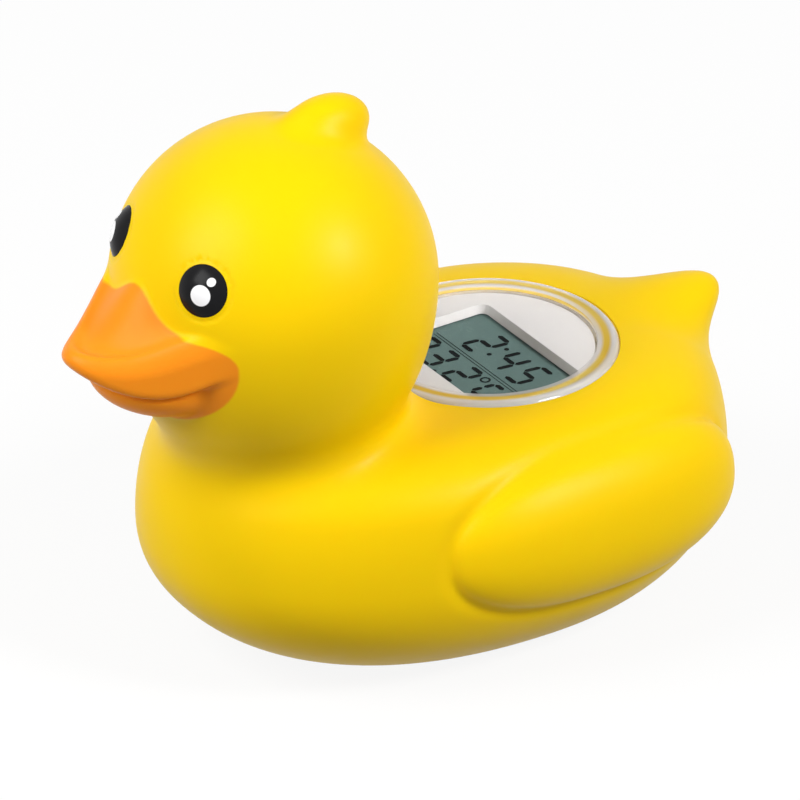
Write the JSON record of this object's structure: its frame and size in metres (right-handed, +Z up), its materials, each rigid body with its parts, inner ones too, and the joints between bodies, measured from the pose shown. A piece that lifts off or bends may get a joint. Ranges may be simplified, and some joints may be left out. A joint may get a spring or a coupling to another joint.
{
  "type": "baby bath thermometer",
  "caption": "Hollow floating duck with a round window in its back over a small display, and a steel sensor tip and battery door in its flat base.",
  "frame": {"origin": "middle of the part's box, on the plane of its flat base", "axes": "+Z up, -Y is the way the duck looks, +X is its left side"},
  "size_m": [0.0698, 0.1079, 0.0844],
  "materials": {
    "yellow_vinyl": "soft satin vinyl, beak painted orange",
    "eye_black": "high gloss",
    "clear_plastic": "clear, polished",
    "white_plastic": "satin",
    "display_glass": "smooth grey-green display",
    "seal_rubber": "matte",
    "seal_silicone": "soft white, a little clear",
    "board_green": "satin lacquer",
    "potting_black": "smooth resin",
    "steel": "plain bright steel",
    "contact_metal": "nickel plate",
    "lead_red": "smooth insulation",
    "lead_black": "smooth insulation"
  },
  "bodies": {
    "root": {"duck_shell": "yellow_vinyl", "left_eye": "eye_black", "right_eye": "eye_black", "clear_cover": "clear_plastic", "cover_seal": "seal_silicone", "face_plate": "white_plastic", "lcd_panel": "display_glass", "zebra_strip": "seal_rubber", "lcd_frame": "white_plastic", "circuit_board": "board_green", "controller_chip": "potting_black", "clock_crystal": "steel", "board_screw_1": "steel", "board_screw_2": "steel", "board_screw_3": "steel", "module_case": "white_plastic", "coin_cell": "steel", "positive_contact": "contact_metal", "negative_contact": "contact_metal", "positive_lead": "lead_red", "negative_lead": "lead_black", "thermistor": "potting_black", "sensor_lead_1": "contact_metal", "sensor_lead_2": "contact_metal", "sensor_cap": "steel", "sensor_seal": "seal_rubber", "battery_door": "white_plastic", "door_seal": "seal_rubber", "door_screw_1": "steel", "door_screw_2": "steel"}
  },
  "joints": []
}
